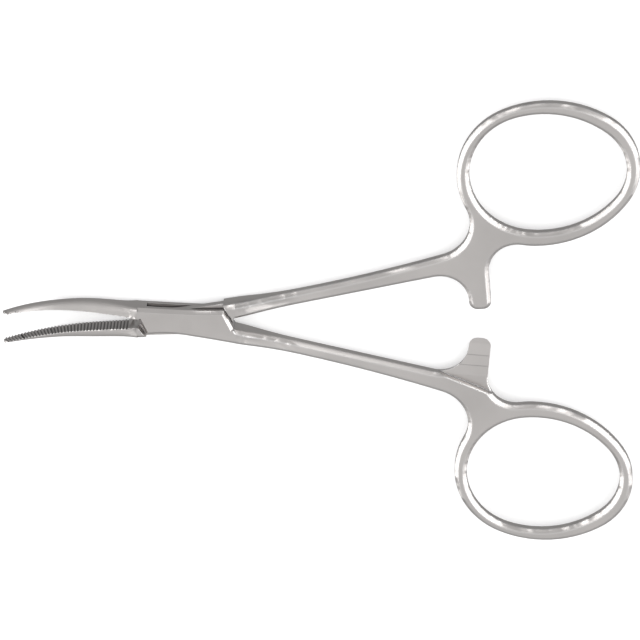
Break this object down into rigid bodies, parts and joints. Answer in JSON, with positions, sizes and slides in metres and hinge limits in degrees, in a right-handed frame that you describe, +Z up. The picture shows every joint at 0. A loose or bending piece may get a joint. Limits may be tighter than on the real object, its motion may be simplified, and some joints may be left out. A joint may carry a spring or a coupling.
{
  "type": "hemostat forceps",
  "caption": "Small curved clamping forceps with box lock, serrated jaws, ratchet arms and finger rings, in satin stainless steel.",
  "frame": {"origin": "on the pivot axis, at the underside of the box lock, which lies on the table", "axes": "+X along the instrument from the pivot towards the finger rings, +Y across towards the ring of the male half, +Z up along the pivot axis, out of the upper face of the box"},
  "size_m": [0.0888, 0.0692, 0.005],
  "materials": {
    "steel_female": "fine satin, bead-blasted and brushed, with brighter rounded edges",
    "steel_male": "fine satin, bead-blasted and brushed, with brighter rounded edges",
    "steel_pin": "ground flush with the box and satin-finished"
  },
  "bodies": {
    "female_half": {"female_half": "steel_female", "pivot_pin": "steel_pin"},
    "male_half": {"male_half": "steel_male"}
  },
  "joints": [
    {"name": "box_lock", "type": "hinge", "parent": "female_half", "child": "male_half", "pos_m": [0, 0, 0.0016], "axis": [0, 0, 1], "range_deg": [-9.2, 50.8]}
  ]
}
